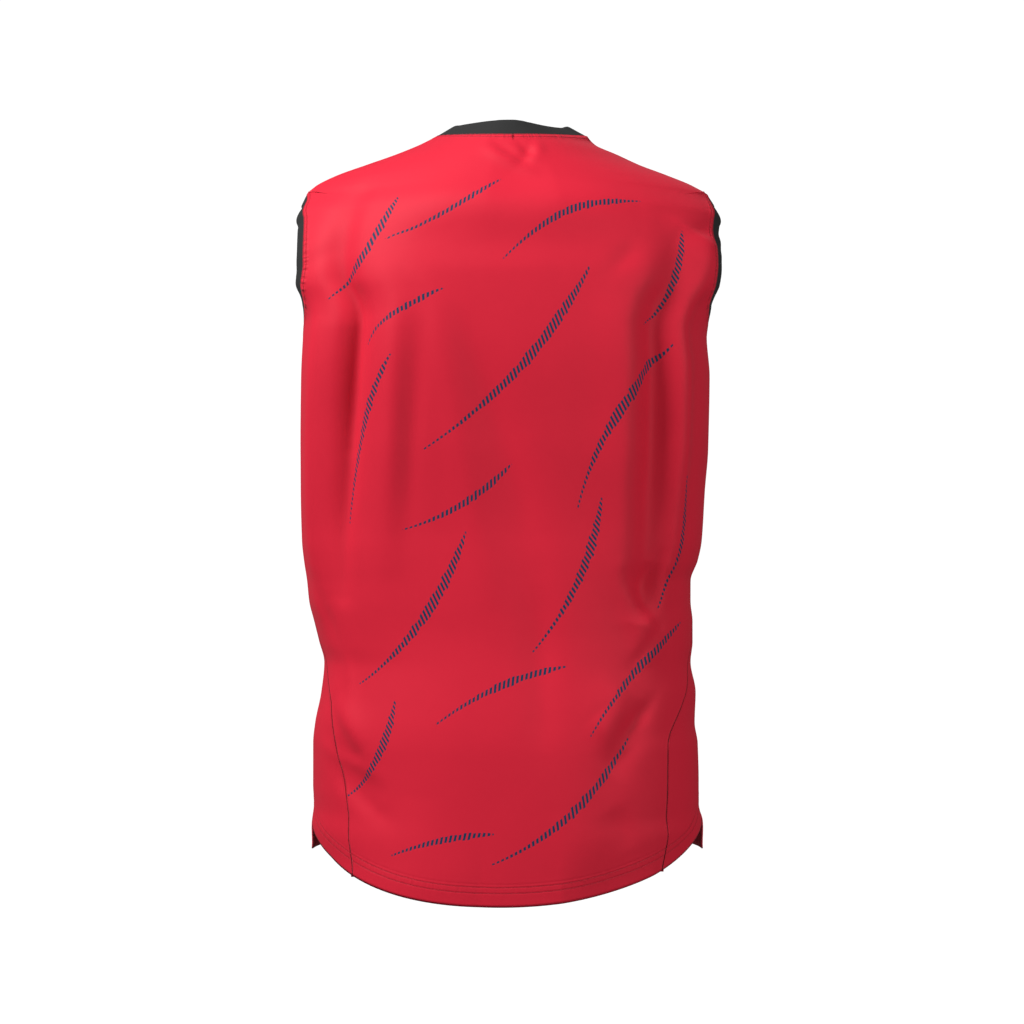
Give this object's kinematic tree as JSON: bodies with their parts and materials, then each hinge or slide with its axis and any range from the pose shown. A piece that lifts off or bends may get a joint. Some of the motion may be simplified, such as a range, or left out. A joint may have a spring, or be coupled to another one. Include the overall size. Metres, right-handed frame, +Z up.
{
  "type": "training singlet",
  "caption": "Sleeveless sports training singlet, worn form, with a round rib neckband, narrow rib armhole bands, side panels and a rounded drop tail.",
  "frame": {"origin": "on the garment's centre line, level with the high points of the shoulders beside the neck, where it hangs on its wearer", "axes": "+Z up; the back faces +Y and the front faces -Y; +X towards the wearer's left; upright as worn"},
  "size_m": [0.4237, 0.2533, 0.7564],
  "materials": {
    "red_knit": "smooth polyester training knit, matte with a slight sheen",
    "black_rib": "matte fine rib knit"
  },
  "bodies": {
    "root": {"back_panel": "red_knit", "front_panel": "red_knit", "side_panel_left": "red_knit", "side_panel_right": "red_knit", "neckband": "black_rib", "armhole_band_left": "black_rib", "armhole_band_right": "black_rib"}
  },
  "joints": []
}
